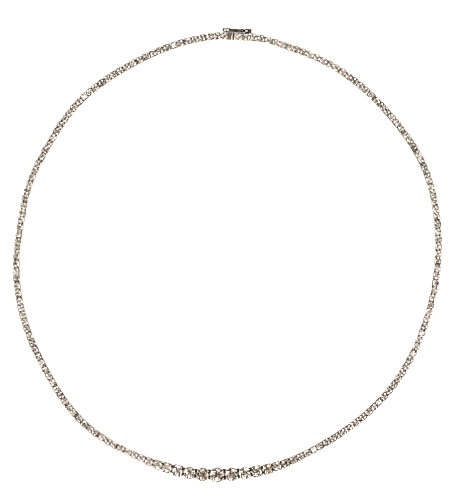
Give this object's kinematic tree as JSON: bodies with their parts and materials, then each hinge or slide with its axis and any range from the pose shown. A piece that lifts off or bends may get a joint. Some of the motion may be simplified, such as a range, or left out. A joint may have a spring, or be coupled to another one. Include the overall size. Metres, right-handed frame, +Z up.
{
  "type": "riviere necklace",
  "caption": "Riviere necklace: a closed row of claw-set round stones, graduated at the front, with a box clasp and a figure-eight safety catch, lying flat.",
  "frame": {"origin": "centre of the necklace's footprint, on the surface that it lies on", "axes": "+X to the right and +Y towards the clasp as seen from above, +Z up from the surface; the largest stone is at -Y"},
  "size_m": [0.1334, 0.1417, 0.0029],
  "materials": {
    "white_gold": "polished white gold, slightly warm",
    "diamond": "round brilliant-cut diamond, near colourless"
  },
  "bodies": {
    "necklace": {"clasp_box": "white_gold", "clasp_stone_01": "diamond", "clasp_stone_02": "diamond", "clasp_stone_03": "diamond", "clasp_stone_04": "diamond", "clasp_tongue": "white_gold", "line_left": "white_gold", "line_right": "white_gold", "setting_01": "white_gold", "setting_02": "white_gold", "setting_03": "white_gold", "setting_04": "white_gold", "setting_05": "white_gold", "setting_06": "white_gold", "setting_07": "white_gold", "setting_08": "white_gold", "setting_09": "white_gold", "setting_10": "white_gold", "setting_11": "white_gold", "setting_12": "white_gold", "setting_13": "white_gold", "setting_14": "white_gold", "setting_15": "white_gold", "setting_16": "white_gold", "setting_17": "white_gold", "stone_01": "diamond", "stone_02": "diamond", "stone_03": "diamond", "stone_04": "diamond", "stone_05": "diamond", "stone_06": "diamond", "stone_07": "diamond", "stone_08": "diamond", "stone_09": "diamond", "stone_10": "diamond", "stone_11": "diamond", "stone_12": "diamond", "stone_13": "diamond", "stone_14": "diamond", "stone_15": "diamond", "stone_16": "diamond", "stone_17": "diamond"},
    "safety_catch": {"safety_catch": "white_gold"}
  },
  "joints": [
    {"name": "catch_hinge", "type": "hinge", "parent": "necklace", "child": "safety_catch", "pos_m": [0.00702, 0.06964, 0.00095], "axis": [0.0597, 0.9982, 0], "range_deg": [0, 110]}
  ]
}
